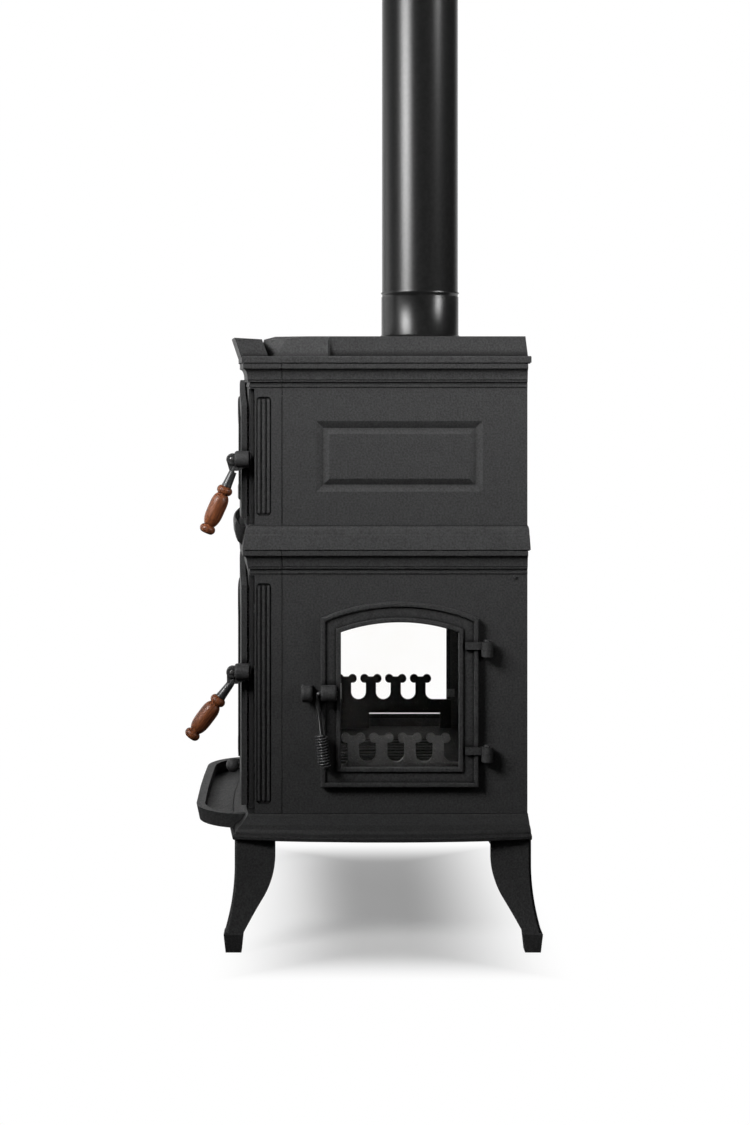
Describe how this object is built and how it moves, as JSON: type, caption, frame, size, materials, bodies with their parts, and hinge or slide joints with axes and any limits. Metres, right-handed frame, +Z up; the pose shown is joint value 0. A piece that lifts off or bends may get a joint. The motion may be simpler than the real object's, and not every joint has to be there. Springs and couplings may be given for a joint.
{
  "type": "wood burning stove",
  "caption": "Tall cast-iron wood stove on splayed legs: glazed firebox, arched side loading door, oven above, ash lip and upright flue pipe.",
  "frame": {"origin": "on the floor, under the middle of the overall box", "axes": "+Z up along the flue, the front doors face -Y, the loading door faces +X"},
  "size_m": [0.577, 0.5644, 1.79],
  "materials": {
    "cast_iron": "matte black, fine sand-cast grain",
    "fired_iron": "bare iron, dull",
    "flue_steel": "satin black",
    "sheet_steel": "dark sheet steel",
    "steel": "bright steel",
    "wood": "turned and oiled",
    "glass": "clear ceramic pane",
    "seal_rope": "woven rope"
  },
  "bodies": {
    "stove_body": {"ash_lip": "cast_iron", "ash_pan": "sheet_steel", "baffle": "fired_iron", "base": "cast_iron", "firebox_floor": "fired_iron", "firebox_hinge_pins": "steel", "flue_collar": "cast_iron", "flue_pipe": "flue_steel", "front_frame_lower": "cast_iron", "front_frame_upper": "cast_iron", "grate": "fired_iron", "latch_keeper": "cast_iron", "left_window_clips": "steel", "left_window_glass": "glass", "leg_bolts": "steel", "leg_front_left": "cast_iron", "leg_front_right": "cast_iron", "leg_rear_left": "cast_iron", "leg_rear_right": "cast_iron", "loading_hinge_pins": "steel", "log_guard_left": "fired_iron", "log_guard_right": "fired_iron", "mid_shelf": "cast_iron", "oven_hinge_pins": "steel", "oven_liner": "sheet_steel", "oven_rack": "steel", "panel_screws": "steel", "rear_liner": "fired_iron", "rear_panel_lower": "cast_iron", "rear_panel_upper": "cast_iron", "side_panel_lower_left": "cast_iron", "side_panel_lower_right": "cast_iron", "side_panel_upper_left": "cast_iron", "side_panel_upper_right": "cast_iron", "tie_rods": "steel", "top_plate": "cast_iron"},
    "firebox_door": {"firebox_door": "cast_iron", "firebox_door_glass": "glass", "firebox_door_gasket": "seal_rope", "firebox_door_clips": "steel"},
    "firebox_handle": {"firebox_handle_lever": "cast_iron", "firebox_handle_ferrule": "cast_iron", "firebox_handle_grip": "wood", "firebox_handle_cam": "cast_iron"},
    "air_control": {"air_rod": "cast_iron", "air_knob": "cast_iron"},
    "oven_door": {"oven_door": "cast_iron", "oven_door_gasket": "seal_rope"},
    "oven_handle": {"oven_handle_lever": "cast_iron", "oven_handle_ferrule": "cast_iron", "oven_handle_grip": "wood", "oven_handle_cam": "cast_iron"},
    "loading_door": {"loading_door": "cast_iron", "loading_door_glass": "glass", "loading_door_gasket": "seal_rope", "loading_door_clips": "steel"},
    "loading_latch": {"latch_lever": "steel", "latch_coil_grip": "steel"}
  },
  "joints": [
    {"name": "firebox_door_hinge", "type": "hinge", "parent": "stove_body", "child": "firebox_door", "pos_m": [-0.226, -0.19237, 0.53], "axis": [0, 0, -1], "range_deg": [0, 110]},
    {"name": "firebox_handle_turn", "type": "hinge", "parent": "firebox_door", "child": "firebox_handle", "pos_m": [0.221, -0.18981, 0.4312], "axis": [0, -1, 0], "range_deg": [0, 90]},
    {"name": "air_pull", "type": "slide", "parent": "firebox_door", "child": "air_control", "axis": [0, -1, 0], "range_m": [0, 0.018]},
    {"name": "oven_door_hinge", "type": "hinge", "parent": "stove_body", "child": "oven_door", "pos_m": [-0.226, -0.19237, 0.827], "axis": [0, 0, -1], "range_deg": [0, 110]},
    {"name": "oven_handle_turn", "type": "hinge", "parent": "oven_door", "child": "oven_handle", "pos_m": [0.221, -0.18981, 0.7707], "axis": [0, -1, 0], "range_deg": [0, 90]},
    {"name": "loading_door_hinge", "type": "hinge", "parent": "stove_body", "child": "loading_door", "pos_m": [0.253, 0.1972, 0.471], "axis": [0, 0, 1], "range_deg": [0, 120]},
    {"name": "loading_latch_turn", "type": "hinge", "parent": "loading_door", "child": "loading_latch", "pos_m": [0.266, -0.0528, 0.404], "axis": [0, -1, 0], "range_deg": [0, 100]}
  ]
}
